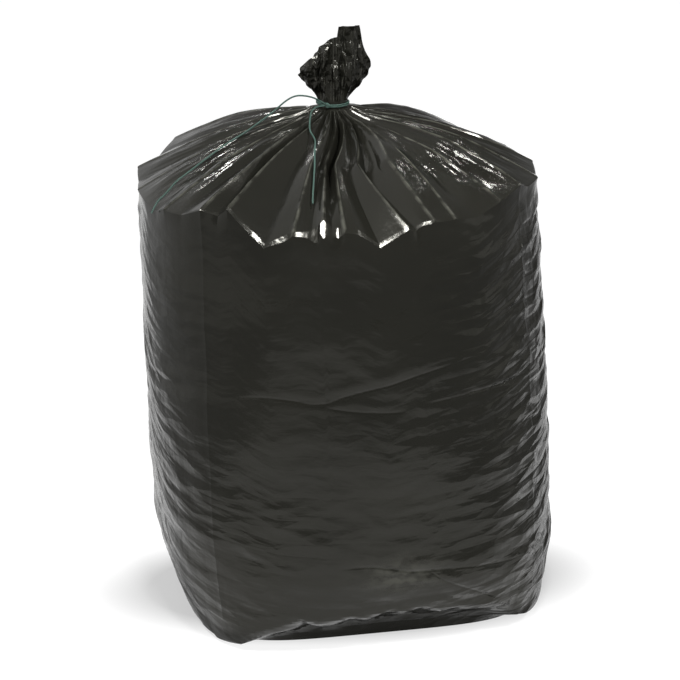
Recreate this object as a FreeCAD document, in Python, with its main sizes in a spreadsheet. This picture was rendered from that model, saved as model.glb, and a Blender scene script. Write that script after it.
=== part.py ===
import FreeCAD
import Part

import math
import os

# A filled refuse sack of thin black film, gathered at the neck and tied with green twine.
# Millimetres, Z up. The origin is the middle of the flat base, and the front faces -Y.
# An angle round the sack is 0 at the front and grows toward +X.

DOC = FreeCAD.newDocument("refuse_sack")


# Driving sizes

SIZES = [
    ("body_width", 450.0, "widest part of the filled body, left to right"),
    ("body_depth", 420.0, "widest part of the filled body, front to back"),
    ("base_width", 360.0, "flat contact face on the floor, left to right"),
    ("base_depth", 288.0, "flat contact face on the floor, front to back"),
    ("base_turn", 4.0, "turn of the base against the body, degrees"),
    ("tuck_height", 32.0, "top of the folded under edge of the base"),
    ("taper_height", 90.0, "height where the lower corners reach full width"),
    ("shoulder_height", 492.0, "edge between the wall and the gathered top"),
    ("shoulder_inset", 8.0, "how far the wall draws in at the shoulder"),
    ("dome_rise", 80.0, "tie above the shoulder"),
    ("neck_flare", 9.0, "steep rise of the pleats just under the tie"),
    ("neck_lean", 24.6, "offset of the neck to the left of the base"),
    ("neck_radius", 16.5, "gathered neck inside the twine"),
    ("tuft_height", 86.0, "tallest flap of film above the tie"),
    ("tuft_width", 74.0, "fan of film above the tie, left to right"),
    ("tuft_depth", 36.0, "fan of film above the tie, front to back"),
    ("tuft_pleat", 2.6, "depth of the pleats of the fan"),
    ("pleat_count", 13, "pleats round the fan"),
    ("crumple_depth", 1.6, "shallow crumple of the wall"),
    ("twine_diameter", 1.8, "green tying twine"),
    ("twine_turns", 2, "turns of twine round the neck"),
    ("twine_gap", 0.3, "play between the neck and the twine"),
    ("knot_size", 5.6, "knot of the twine, across"),
    ("knot_angle", -24.0, "place of the knot round the neck, degrees"),
]

SHEET = DOC.addObject("Spreadsheet::Sheet", "Sizes")
for row, (alias, value, note) in enumerate(SIZES, start=1):
    SHEET.set("A%d" % row, alias)
    SHEET.set("B%d" % row, str(value))
    SHEET.set("C%d" % row, note)
    SHEET.setAlias("B%d" % row, alias)
DOC.recompute()


def size(alias):
    return float(SHEET.get(alias))


# Fold lines of the gathered top. Each runs from the shoulder edge up to the neck.
# Angles in degrees at the shoulder, half way up and near the neck, then how far the
# film stands out (+) or in (-) there, mm, and on the wall below the shoulder.

FOLDS = [
    # shoulder, middle, neck, out at shoulder, out at middle, out near neck, out on the wall
    (-172.0, -171.0, -172.0, 2.0, 5.0, 2.0, 0.0),
    (-163.0, -163.5, -164.0, -3.0, -7.0, -4.0, 0.0),
    (-152.0, -154.0, -155.0, 2.0, 4.0, 2.0, 0.0),
    (-143.0, -144.0, -146.0, -2.0, -5.0, -3.0, 0.0),
    (-134.0, -135.0, -136.0, 6.0, 7.0, 3.0, 4.0),
    (-124.0, -125.0, -126.0, -3.0, -6.0, -3.0, -1.5),
    (-108.0, -104.0, -112.0, 4.0, 4.0, 2.0, 0.0),
    (-98.0, -94.0, -98.0, -2.0, -4.0, -3.0, 0.0),
    (-86.0, -82.0, -84.0, 3.0, 5.0, 2.0, 0.0),
    (-75.0, -74.0, -74.0, 0.0, -1.0, -2.0, 0.0),
    (-66.0, -69.0, -66.0, -3.0, -5.0, -3.0, 0.0),
    (-60.0, -60.0, -58.0, 2.0, 4.0, 2.0, 0.0),
    (-53.0, -50.5, -50.0, -2.0, -3.0, -2.0, -1.5),
    (-45.5, -42.5, -42.0, 3.0, 5.0, 3.0, 4.0),
    (-41.0, -39.5, -37.0, -6.0, -9.0, -4.0, -1.5),
    (-37.5, -36.5, -33.0, 2.0, 2.0, 2.0, 0.0),
    (-28.0, -28.0, -25.0, 0.0, 0.0, -2.0, 0.0),
    (-20.0, -19.0, -14.0, 1.0, 6.0, 3.0, 0.0),
    (-15.0, -15.0, -9.0, 0.0, -1.0, -2.0, 0.0),
    (-11.5, -12.2, -4.0, 1.0, 3.0, 2.0, 0.0),
    (-9.0, -10.3, 1.0, -5.0, -9.0, -5.0, 0.0),
    (-5.5, -7.5, 6.0, 0.0, 2.0, 2.0, 0.0),
    (4.5, -1.0, 10.0, 0.0, 0.0, -2.0, 0.0),
    (13.0, 3.5, 15.0, 1.0, 4.0, 3.0, 0.0),
    (15.5, 8.5, 20.0, -5.0, -10.0, -5.0, 0.0),
    (17.5, 14.5, 25.0, -1.0, -4.0, -1.0, 0.0),
    (20.5, 18.5, 30.0, 1.0, 5.0, 3.0, 0.0),
    (27.0, 28.0, 36.0, 0.0, 4.0, -2.0, 0.0),
    (33.5, 34.0, 43.0, -2.0, -2.0, 2.0, 0.0),
    (42.0, 44.0, 50.0, 0.0, 2.0, -3.0, -1.5),
    (50.0, 56.0, 58.0, 4.0, 5.0, 3.0, 4.0),
    (57.0, 63.0, 65.0, -3.0, -4.0, -3.0, -1.5),
    (66.0, 71.0, 73.0, 2.0, 4.0, 2.0, 0.0),
    (76.0, 78.0, 81.0, -2.0, -4.0, -3.0, 0.0),
    (87.0, 86.0, 88.0, 3.0, 5.0, 2.0, 0.0),
    (98.0, 97.0, 97.0, -2.0, -5.0, -3.0, 0.0),
    (112.0, 110.0, 108.0, 3.0, 4.0, 2.0, 0.0),
    (124.0, 122.0, 120.0, -3.0, -6.0, -3.0, -1.5),
    (134.0, 134.0, 132.0, 6.0, 7.0, 3.0, 4.0),
    (144.0, 145.0, 144.0, -3.0, -7.0, -4.0, -1.5),
    (155.0, 156.0, 156.0, 2.0, 5.0, 2.0, 0.0),
    (166.0, 167.0, 167.0, -2.0, -6.0, -3.0, 0.0),
    (178.0, 178.0, 178.0, 1.0, 3.0, 1.0, 0.0),
]

# The shoulder edge dips and rises round the sack: angle, and height above the shoulder size.
EDGE_HEIGHTS = [
    (-172.0, -6.0), (-152.0, 5.0), (-134.0, 9.0), (-120.0, -3.0), (-108.0, -4.0), (-86.0, -8.0),
    (-66.0, -6.0), (-53.0, 0.0), (-45.5, 7.0), (-37.5, 14.0), (-28.0, -21.0), (-20.0, -9.0),
    (-15.0, -8.0), (-11.5, 1.0), (-5.5, -6.0), (-1.5, -7.0), (4.5, -23.0), (13.0, -7.0),
    (17.5, -2.0), (33.5, -1.0), (42.0, 9.0), (50.0, 17.0), (57.0, 14.0), (76.0, 7.0),
    (98.0, 8.0), (112.0, 2.0), (134.0, 11.0), (144.0, -4.0), (166.0, 4.0), (178.0, -5.0),
]

# Film above the tie: angle round the neck, and height as a share of the tuft height.
FLAP_HEIGHTS = [
    (-170.0, 0.74), (-150.0, 0.66), (-120.0, 0.52), (-90.0, 0.38), (-72.0, 0.47), (-56.0, 0.62),
    (-50.0, 0.55), (-42.0, 0.63), (-34.0, 0.72), (-18.0, 0.76), (-4.0, 0.84), (10.0, 0.90),
    (16.0, 1.0), (52.0, 1.0), (62.0, 0.80), (76.0, 0.60), (90.0, 0.50), (112.0, 0.62), (140.0, 0.80),
]

# Free tails of the twine, from the knot to the cut end. Millimetres from the middle of the tie.
LONG_TAIL = [
    (-11.9, -18.7, 2.9), (-20.5, -21.5, 9.1), (-31.3, -21.0, 12.4), (-43.0, -19.5, 12.9),
    (-53.0, -18.5, 7.6), (-62.5, -18.0, -0.7), (-74.0, -18.5, -9.9), (-85.6, -19.0, -17.7),
    (-97.4, -18.5, -26.1), (-111.8, -24.2, -32.5), (-125.6, -31.4, -39.0), (-137.5, -37.3, -45.8),
    (-149.0, -43.5, -52.0), (-163.2, -52.6, -59.8), (-175.4, -58.4, -66.6), (-183.5, -68.5, -72.0),
    (-190.5, -79.0, -76.5), (-199.5, -89.0, -80.5), (-205.5, -94.0, -91.5),
]
SHORT_TAIL = [
    (-12.1, -20.3, 0.5), (-20.0, -25.5, 1.5), (-27.0, -31.0, -1.2), (-29.6, -40.0, -5.8),
    (-31.7, -49.5, -11.1), (-32.8, -59.5, -17.2), (-29.8, -67.0, -21.4), (-29.2, -78.0, -23.0),
    (-30.8, -89.0, -24.8), (-32.6, -99.5, -26.8), (-34.3, -110.0, -30.2), (-35.4, -120.6, -37.1),
    (-37.6, -132.2, -44.6), (-40.1, -146.4, -52.5), (-42.8, -160.7, -60.4), (-44.1, -170.3, -66.4),
]

# An arc of a tail takes this share of the shorter run beside it.
BEND_SHARE = 0.45
CORD_SIDES = 6
COIL_STEPS = 32

# Plan of the body from the base up. Share of the way from the base size to the body size in
# width and in depth, squareness of the corners, and share of the turn of the base.
LOW_SECTIONS = [
    (0.0, 0.0, 4.5, 1.0),
    (0.24, 0.07, 4.4, 1.0),
    (0.36, 0.30, 4.0, 1.0),
    (0.52, 0.78, 3.3, 1.0),
    (0.85, 0.95, 2.9, 0.7),
    (0.96, 1.0, 2.8, 0.6),
]
FOOT_SHARE = 0.33
LIP_SHARE = 0.6
CORNER_SHARE = 0.66
FULL_LEVEL = 0.36
DRAWN_LEVEL = 0.7
FULL_POWER = 2.7
DRAWN_POWER = 2.6
SHOULDER_POWER = 2.55
DRAWN_WIDTH_SHARE = 0.4
DRAWN_DEPTH_SHARE = 0.2
DEPTH_INSET_SHARE = 0.8

# Rows of points up the wall, the gathered top and the tuft, as shares of each.
WALL_SHARES = [0.07, 0.19, 0.32, 0.44, 0.55, 0.65, 0.76, 0.87, 0.96]
DOME_SHARES = [1.0, 0.96, 0.88, 0.78, 0.67, 0.55, 0.44, 0.34, 0.25, 0.17, 0.10, 0.05, 0.02]
TUFT_SHARES = [0.05, 0.12, 0.22, 0.34, 0.48, 0.64, 0.82, 1.0]
COLUMN_STEP = 4.6

# The fold lines are given at these shares of the gathered top, and its profile.
MIDDLE_SHARE = 0.55
NECK_SHARE = 0.15
DOME_POWER = 1.6
FLARE_LENGTH = 14.0
FOLD_TILT = [(0.0, 80.0), (0.15, 40.0), (0.5, 20.0), (1.0, 35.0)]

# How far the fan has opened at shares of the height of its tallest flap, and how deep its mouth lies.
TUFT_SPREAD = [(0.0, 0.0), (0.1, 0.17), (0.22, 0.55), (0.36, 0.93), (0.53, 1.0), (1.0, 0.98)]
PLEAT_FADE = 3.0
MOUTH_SHARE = 0.45

# Two waves whose product makes the crumple: waves round the sack, and radians up the wall.
CRUMPLE_WAVES = [(5.0, 9.0), (3.0, -17.0)]


def between(points, x):
    """Straight-line value at x of a rising list of (x, value) pairs."""
    if x <= points[0][0]:
        return points[0][1]
    for (x0, y0), (x1, y1) in zip(points, points[1:]):
        if x <= x1:
            return y0 + (y1 - y0) * (x - x0) / (x1 - x0)
    return points[-1][1]


def round_the_sack(points, angle):
    """The same for a list of angles that closes on itself after 360 degrees."""
    first, last = points[0], points[-1]
    closed = [(last[0] - 360.0, last[1])] + points + [(first[0] + 360.0, first[1])]
    return between(closed, angle)


def plan_radius(angle, half_width, half_depth, power):
    """Radius of a squarish oval section, angle in degrees."""
    side = abs(math.sin(math.radians(angle))) / half_width
    front = abs(math.cos(math.radians(angle))) / half_depth
    return (side ** power + front ** power) ** (-1.0 / power)


def wall_sections():
    """Height, half width, half depth, squareness and turn of the body from base to shoulder."""
    base_width = size("base_width") / 2.0
    base_depth = size("base_depth") / 2.0
    full_width = size("body_width") / 2.0
    full_depth = size("body_depth") / 2.0
    tuck = size("tuck_height")
    taper = size("taper_height")
    top = size("shoulder_height")
    inset = size("shoulder_inset")
    corner = tuck + CORNER_SHARE * (taper - tuck)
    heights = [0.0, FOOT_SHARE * tuck, LIP_SHARE * tuck, tuck, corner, taper]
    sections = []
    for height, (wide, deep, power, turn) in zip(heights, LOW_SECTIONS):
        half_width = base_width + wide * (full_width - base_width)
        half_depth = base_depth + deep * (full_depth - base_depth)
        sections.append((height, half_width, half_depth, power, turn * size("base_turn")))
    sections.append((taper + FULL_LEVEL * (top - taper), full_width, full_depth, FULL_POWER, 0.0))
    drawn = taper + DRAWN_LEVEL * (top - taper)
    drawn_width = full_width - DRAWN_WIDTH_SHARE * inset
    drawn_depth = full_depth - DRAWN_DEPTH_SHARE * inset
    sections.append((drawn, drawn_width, drawn_depth, DRAWN_POWER, 0.0))
    sections.append((top, full_width - inset, full_depth - DEPTH_INSET_SHARE * inset, SHOULDER_POWER, 0.0))
    return sections


def section_at(height, sections):
    """Half width, half depth, squareness and turn at a height."""
    return [between([(s[0], s[k]) for s in sections], height) for k in (1, 2, 3, 4)]


def neck_height():
    return size("shoulder_height") + size("dome_rise")


def band_height():
    """Round band of the neck that the twine wraps, with the room for its slant."""
    return (size("twine_turns") + 2.0) * size("twine_diameter")


def band_foot():
    return neck_height() - band_height() / 2.0


def band_top():
    return neck_height() + band_height() / 2.0


def fan_height():
    """Tallest flap above the band."""
    return size("tuft_height") - band_height() / 2.0


def axis_at(height):
    """The body leans a little to the left up to the neck."""
    return -size("neck_lean") * min(height / neck_height(), 1.0)


def fold_columns():
    """Each fold line, and evenly spaced columns between two that lie far apart."""
    columns = []
    closed = FOLDS + [tuple(v + 360.0 for v in FOLDS[0][:3]) + FOLDS[0][3:]]
    for here, after in zip(closed, closed[1:]):
        count = max(1, int(round((after[0] - here[0]) / COLUMN_STEP)))
        for step in range(count):
            share = step / count
            columns.append([a + (b - a) * share for a, b in zip(here, after)])
    return columns


def round_point(axis, angle, radius, height):
    """The point at an angle and radius about an upright axis."""
    turn = math.radians(angle)
    return FreeCAD.Vector(axis + radius * math.sin(turn), -radius * math.cos(turn), height)


def crumple(angle, level):
    """Shallow hollows and swellings of the wall."""
    out = size("crumple_depth")
    for waves, climb in CRUMPLE_WAVES:
        out *= math.sin(math.radians(waves * angle) + climb * level)
    return out


def wall_point(column, height, sections):
    """A point of the wall, with the corner creases of the film and a shallow crumple."""
    angle = column[0]
    half_width, half_depth, power, turn = section_at(height, sections)
    out = column[6] + crumple(angle, height / size("shoulder_height"))
    out *= min(1.0, height / size("taper_height"))
    radius = plan_radius(angle - turn, half_width, half_depth, power) + out
    return round_point(axis_at(height), angle, radius, height)


def edge_height(angle):
    return size("shoulder_height") + round_the_sack(EDGE_HEIGHTS, angle)


def dome_point(column, share, sections):
    """A point of the gathered top: share is 1 at the shoulder edge and 0 at the neck."""
    levels = [(NECK_SHARE, 2), (MIDDLE_SHARE, 1), (1.0, 0)]
    angle = between([(q, column[k]) for q, k in levels], share)
    out = between([(0.0, 0.0)] + [(q, column[k + 3]) for q, k in levels], share)
    edge = edge_height(column[0])
    half_width, half_depth, power, turn = section_at(edge, sections)
    outer = plan_radius(column[0] - turn, half_width, half_depth, power)
    neck = size("neck_radius")
    flare = size("neck_flare")
    radius = neck + (outer - neck) * share
    rise = (band_foot() - flare - edge) * (1.0 - share ** DOME_POWER)
    rise += flare * math.exp(-(radius - neck) / FLARE_LENGTH)
    tilt = math.radians(between(FOLD_TILT, share))
    radius += out * math.sin(tilt)
    height = edge + rise + out * math.cos(tilt)
    return round_point(axis_at(edge + rise), angle, radius, height)


def band_point(column, height):
    """A point of the plain round band under the twine."""
    return round_point(-size("neck_lean"), column[2], size("neck_radius"), height)


def tuft_point(column, share):
    """A point of the pleated fan: share is 0 at the tie and 1 on the free edge of the film."""
    angle = column[2]
    neck = size("neck_radius")
    rise = share * round_the_sack(FLAP_HEIGHTS, angle)
    spread = between(TUFT_SPREAD, rise)
    half_width = neck + (size("tuft_width") / 2.0 - neck) * spread
    half_depth = neck + (size("tuft_depth") / 2.0 - neck) * spread
    radius = plan_radius(angle, half_width, half_depth, 2.0)
    pleat = math.asin(math.sin(math.radians(size("pleat_count") * angle))) / math.radians(90.0)
    radius += size("tuft_pleat") * pleat * min(1.0, PLEAT_FADE * share)
    return round_point(-size("neck_lean"), angle, radius, band_top() + fan_height() * rise)


def sack_rings():
    """Every ring of points from the contact edge up to the free edge of the tuft."""
    columns = fold_columns()
    sections = wall_sections()
    low = [section[0] for section in sections[:len(LOW_SECTIONS)]]
    rings = [[wall_point(c, height, sections) for c in columns] for height in low]
    for share in WALL_SHARES:
        heights = [low[-1] + share * (edge_height(c[0]) - low[-1]) for c in columns]
        rings.append([wall_point(c, height, sections) for c, height in zip(columns, heights)])
    for share in DOME_SHARES:
        rings.append([dome_point(c, share, sections) for c in columns])
    for height in (band_foot(), band_top()):
        rings.append([band_point(c, height) for c in columns])
    for share in TUFT_SHARES:
        rings.append([tuft_point(c, share) for c in columns])
    return rings


def triangle(a, b, c):
    return Part.Face(Part.makePolygon([a, b, c, a]))


def skin(rings):
    """Triangles between rings of points, one ring above the other."""
    count = len(rings[0])
    faces = []
    for lower, upper in zip(rings, rings[1:]):
        for k in range(count):
            after = (k + 1) % count
            faces.append(triangle(lower[k], lower[after], upper[after]))
            faces.append(triangle(lower[k], upper[after], upper[k]))
    return faces


def closed_solid(faces):
    shell = Part.makeShell(faces)
    shell.sewShape()
    solid = Part.makeSolid(shell)
    if solid.Volume < 0.0:
        solid.reverse()
    return solid


def sack_shape():
    """The rings closed by a flat base, and by a shallow mouth inside the free edge of the tuft."""
    rings = sack_rings()
    faces = skin(rings)
    faces.append(Part.Face(Part.makePolygon(rings[0] + rings[0][:1])))
    edge = rings[-1]
    mouth = FreeCAD.Vector(-size("neck_lean"), 0.0, band_top() + MOUTH_SHARE * fan_height())
    for here, after in zip(edge, edge[1:] + edge[:1]):
        faces.append(triangle(here, after, mouth))
    return closed_solid(faces)


def make_sack():
    sack = DOC.addObject("Part::Feature", "refuse_sack")
    sack.Label = "refuse_sack"
    sack.Shape = sack_shape()
    sack.Placement = FreeCAD.Placement()
    return sack


NECK_X = "-Sizes.neck_lean"
NECK_Z = "Sizes.shoulder_height + Sizes.dome_rise"
KNOT_RADIUS = "(Sizes.neck_radius + Sizes.twine_gap + Sizes.knot_size / 2)"


def neck_centre():
    return FreeCAD.Vector(-size("neck_lean"), 0.0, neck_height())


def knot_centre():
    radius = size("neck_radius") + size("twine_gap") + size("knot_size") / 2.0
    return round_point(-size("neck_lean"), size("knot_angle"), radius, neck_height())


def tail_points(offsets):
    return [neck_centre() + FreeCAD.Vector(*offset) for offset in offsets]


def coil_ring(turned):
    """Section of the twine where it has turned so many degrees from the knot."""
    turns = size("twine_turns")
    radius = size("neck_radius") + size("twine_gap") + size("twine_diameter") / 2.0
    middle = neck_height() + (turned / 360.0 - turns / 2.0) * size("twine_diameter")
    ring = []
    for side in range(CORD_SIDES):
        turn = math.tau * side / CORD_SIDES
        out = size("twine_diameter") / 2.0 * math.cos(turn)
        rise = size("twine_diameter") / 2.0 * math.sin(turn)
        angle = size("knot_angle") + turned
        ring.append(round_point(-size("neck_lean"), angle, radius + out, middle + rise))
    return ring


def make_coil():
    """The twine wound round the neck: both ends lie inside the knot."""
    steps = int(COIL_STEPS * size("twine_turns"))
    rings = [coil_ring(360.0 * size("twine_turns") * step / steps) for step in range(steps + 1)]
    faces = skin(rings)
    for end in (rings[0], rings[-1]):
        faces.append(Part.Face(Part.makePolygon(end + end[:1])))
    coil = DOC.addObject("Part::Feature", "coil")
    coil.Shape = closed_solid(faces)
    coil.Placement = FreeCAD.Placement()
    return coil


def make_knot():
    """The pulled-tight knot that lies on the turns."""
    knot = DOC.addObject("Part::Sphere", "knot")
    knot.setExpression("Radius", "Sizes.knot_size / 2")
    knot.setExpression("Placement.Base.x", "%s + %s * sin(Sizes.knot_angle * 1 deg)" % (NECK_X, KNOT_RADIUS))
    knot.setExpression("Placement.Base.y", "-%s * cos(Sizes.knot_angle * 1 deg)" % KNOT_RADIUS)
    knot.setExpression("Placement.Base.z", NECK_Z)
    return knot


def make_stub(name, offsets):
    """Twine from inside the knot to the flat face where a free tail begins."""
    start, toward = tail_points(offsets)[:2]
    direction = (toward - start).normalize()
    length = (start - knot_centre()).Length
    stub = DOC.addObject("Part::Cylinder", name)
    stub.setExpression("Radius", "Sizes.twine_diameter / 2")
    stub.Height = length
    turn = FreeCAD.Rotation(FreeCAD.Vector(0, 0, 1), direction)
    stub.Placement = FreeCAD.Placement(start - direction * length, turn)
    return stub


def make_wrap():
    pieces = [make_coil(), make_knot()]
    pieces.append(make_stub("long_stub", LONG_TAIL))
    pieces.append(make_stub("short_stub", SHORT_TAIL))
    wrap = DOC.addObject("Part::MultiFuse", "twine_wrap")
    wrap.Shapes = pieces
    wrap.Label = "twine_wrap"
    return wrap


def bend(before, corner, after):
    """Arc at a corner of the route: as large as its two runs allow."""
    back = before - corner
    ahead = after - corner
    turn = math.pi - back.getAngle(ahead)
    radius = BEND_SHARE * min(back.Length, ahead.Length) / math.tan(turn / 2.0)
    trim = radius * math.tan(turn / 2.0)
    first = corner + back.normalize() * trim
    last = corner + ahead.normalize() * trim
    inward = (back + ahead).normalize()
    middle = corner + inward * (radius / math.cos(turn / 2.0) - radius)
    return first, middle, last, radius


def route_wire(points):
    """Straight runs joined by tangent arcs, and the radius of each arc."""
    edges = []
    radii = []
    start = points[0]
    for before, corner, after in zip(points, points[1:], points[2:]):
        first, middle, last, radius = bend(before, corner, after)
        edges.append(Part.LineSegment(start, first).toShape())
        edges.append(Part.Arc(first, middle, last).toShape())
        radii.append(radius)
        start = last
    edges.append(Part.LineSegment(start, points[-1]).toShape())
    return Part.Wire(edges), radii


def make_tail(name, offsets):
    """A free tail of twine, swept along its route."""
    points = tail_points(offsets)
    wire, radii = route_wire(points)
    route = DOC.addObject("Part::Feature", name + "_route")
    route.Shape = wire
    section = DOC.addObject("Part::RegularPolygon", name + "_section")
    section.Polygon = CORD_SIDES
    section.setExpression("Circumradius", "Sizes.twine_diameter / 2")
    turn = FreeCAD.Rotation(FreeCAD.Vector(0, 0, 1), points[1] - points[0])
    section.Placement = FreeCAD.Placement(points[0], turn)
    tail = DOC.addObject("Part::Sweep", name)
    tail.Sections = [section]
    tail.Spine = (route, ["Edge%d" % (k + 1) for k in range(len(wire.Edges))])
    tail.Solid = True
    tail.Frenet = False
    tail.Label = name
    DOC.recompute()
    area = CORD_SIDES / 2.0 * math.sin(math.tau / CORD_SIDES) * (size("twine_diameter") / 2.0) ** 2
    print(name, "length", round(wire.Length, 1), "mm")
    print("  smallest radii", sorted(round(r, 1) for r in radii)[:4])
    print("  volume", round(tail.Shape.Volume, 1), "section times length", round(area * wire.Length, 1))
    return tail


def check(pieces):
    """Stop before anything is written if an object has failed or a solid is not sound."""
    for item in DOC.Objects:
        if "Invalid" in item.State or "Error" in item.State:
            raise RuntimeError("%s failed: %s" % (item.Name, item.State))
    for piece in pieces:
        if piece.Shape.isNull() or not piece.Shape.isValid():
            raise RuntimeError("%s has no sound shape" % piece.Label)


def export(pieces):
    os.makedirs("parts", exist_ok=True)
    for piece in pieces:
        piece.Shape.exportStep("parts/%s.step" % piece.Label)
        box = piece.Shape.BoundBox
        print(piece.Label, len(piece.Shape.Solids), "solid", round(piece.Shape.Volume / 1000.0, 2), "cm3",
              [round(v, 1) for v in (box.XMin, box.YMin, box.ZMin, box.XMax, box.YMax, box.ZMax)])


PIECES = [
    make_sack(),
    make_wrap(),
    make_tail("twine_tail_long", LONG_TAIL),
    make_tail("twine_tail_short", SHORT_TAIL),
]
DOC.recompute()
check(PIECES)
export(PIECES)
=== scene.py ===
# %% [markdown]
# This lesson dresses a filled refuse sack: a body of thin black film, a gathered and pleated top,
# a fan of film above the tie, and a green twine with two free tails. The solids from the CAD file
# come in as a fixed frame, and each visible piece is made to lie exactly where its solid lies.

# %% Load the frame
import bpy
import math
import numpy as np
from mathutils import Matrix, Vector


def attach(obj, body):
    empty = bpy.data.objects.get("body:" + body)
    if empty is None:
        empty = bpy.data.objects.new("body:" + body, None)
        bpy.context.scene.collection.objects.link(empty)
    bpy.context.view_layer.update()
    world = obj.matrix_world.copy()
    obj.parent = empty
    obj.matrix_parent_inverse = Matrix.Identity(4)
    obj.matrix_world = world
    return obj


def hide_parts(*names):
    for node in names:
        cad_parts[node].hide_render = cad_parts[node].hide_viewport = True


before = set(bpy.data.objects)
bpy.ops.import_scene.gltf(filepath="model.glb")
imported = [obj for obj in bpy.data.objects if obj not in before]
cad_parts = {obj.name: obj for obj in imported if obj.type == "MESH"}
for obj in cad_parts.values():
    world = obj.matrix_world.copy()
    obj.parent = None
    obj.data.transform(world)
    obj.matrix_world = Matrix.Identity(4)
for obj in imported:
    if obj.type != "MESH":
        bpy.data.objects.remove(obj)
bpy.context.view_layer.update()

MM = 0.001

# %% [markdown]
# The camera comes first, because everything is judged through it. The photograph was taken from
# a little above and slightly from the left, with a long lens, so the sack shows little perspective.
# Turning by azimuth and elevation about a target point keeps those two angles readable. Colours are
# shown plainly, without a film curve, so that a measured grey comes out as the same grey.

# %% Place the camera
CAMERA_AZIMUTH = -8.0
CAMERA_ELEVATION = 19.0
CAMERA_DISTANCE = 2.6
CAMERA_LENS = 121.9
CAMERA_TARGET = Vector((-0.0165, 0.0, 0.297))
SENSOR_WIDTH = 36.0
FAR_CLIP = 50.0


def direction(azimuth, elevation):
    """Unit vector from the object toward a viewer at these angles, degrees."""
    turn = math.radians(azimuth)
    rise = math.radians(elevation)
    return Vector((math.sin(turn) * math.cos(rise), -math.cos(turn) * math.cos(rise), math.sin(rise)))


def aim(obj, target):
    """Turn a camera or lamp so that it looks at a point."""
    obj.rotation_euler = (target - obj.location).to_track_quat("-Z", "Y").to_euler()


camera_offset = direction(CAMERA_AZIMUTH, CAMERA_ELEVATION) * CAMERA_DISTANCE
bpy.ops.object.select_all(action="DESELECT")
bpy.ops.object.camera_add(location=CAMERA_TARGET + camera_offset)
camera = bpy.context.object
camera.name = "photo_camera"
camera.data.lens = CAMERA_LENS
camera.data.sensor_width = SENSOR_WIDTH
camera.data.clip_end = FAR_CLIP
aim(camera, CAMERA_TARGET)
bpy.context.scene.camera = camera
bpy.context.scene.view_settings.view_transform = "Standard"
print("camera at", [round(v, 3) for v in camera.location])

# %% [markdown]
# The body is one skin of film, and it is easiest to describe as rings of points that climb from the
# middle of the base, up the wall, over the shoulder edge, in to the neck and out into the fan. The
# sizes below are those of the solid, in millimetres. An angle is 0 at the front, growing to the right.

# %% Sizes of the sack
TAPER_HEIGHT = 90.0
SHOULDER_HEIGHT = 492.0
NECK_HEIGHT = 572.0
NECK_FLARE = 9.0
NECK_LEAN = 24.6
NECK_RADIUS = 16.5
BAND_HEIGHT = 7.2
TUFT_HEIGHT = 86.0
TUFT_WIDTH = 74.0
TUFT_DEPTH = 36.0
TWINE_DIAMETER = 1.8
print("top of the fan at", NECK_HEIGHT + TUFT_HEIGHT, "mm")

# %% [markdown]
# Film that is drawn in to a neck falls into pleats. Each row below is one fold line, with its angle
# at the shoulder edge, half way up and near the neck, and how far it stands out or in there. Straight
# panels between the lines give the flat facets and crisp creases that stiff film has.

# %% Fold lines of the gathered top
FOLDS = np.array([
    # shoulder, middle, neck, out at shoulder, out at middle, out near neck, out on the wall
    (-172, -171, -172, 2, 5, 2, 0),
    (-163, -163.5, -164, -3, -7, -4, 0),
    (-152, -154, -155, 2, 4, 2, 0),
    (-143, -144, -146, -2, -5, -3, 0),
    (-134, -135, -136, 6, 7, 3, 4),
    (-124, -125, -126, -3, -6, -3, -1.5),
    (-108, -104, -112, 4, 4, 2, 0),
    (-98, -94, -98, -2, -4, -3, 0),
    (-86, -82, -84, 3, 5, 2, 0),
    (-75, -74, -74, 0, -1, -2, 0),
    (-66, -69, -66, -3, -5, -3, 0),
    (-60, -60, -58, 2, 4, 2, 0),
    (-53, -50.5, -50, -2, -3, -2, -1.5),
    (-45.5, -42.5, -42, 3, 5, 3, 4),
    (-41, -39.5, -37, -6, -9, -4, -1.5),
    (-37.5, -36.5, -33, 2, 2, 2, 0),
    (-28, -28, -25, 0, 0, -2, 0),
    (-20, -19, -14, 1, 6, 3, 0),
    (-15, -15, -9, 0, -1, -2, 0),
    (-11.5, -12.2, -4, 1, 3, 2, 0),
    (-9, -10.3, 1, -5, -9, -5, 0),
    (-5.5, -7.5, 6, 0, 2, 2, 0),
    (4.5, -1, 10, 0, 0, -2, 0),
    (13, 3.5, 15, 1, 4, 3, 0),
    (15.5, 8.5, 20, -5, -10, -5, 0),
    (17.5, 14.5, 25, -1, -4, -1, 0),
    (20.5, 18.5, 30, 1, 5, 3, 0),
    (27, 28, 36, 0, 4, -2, 0),
    (33.5, 34, 43, -2, -2, 2, 0),
    (42, 44, 50, 0, 2, -3, -1.5),
    (50, 56, 58, 4, 5, 3, 4),
    (57, 63, 65, -3, -4, -3, -1.5),
    (66, 71, 73, 2, 4, 2, 0),
    (76, 78, 81, -2, -4, -3, 0),
    (87, 86, 88, 3, 5, 2, 0),
    (98, 97, 97, -2, -5, -3, 0),
    (112, 110, 108, 3, 4, 2, 0),
    (124, 122, 120, -3, -6, -3, -1.5),
    (134, 134, 132, 6, 7, 3, 4),
    (144, 145, 144, -3, -7, -4, -1.5),
    (155, 156, 156, 2, 5, 2, 0),
    (166, 167, 167, -2, -6, -3, 0),
    (178, 178, 178, 1, 3, 1, 0),
])

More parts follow.
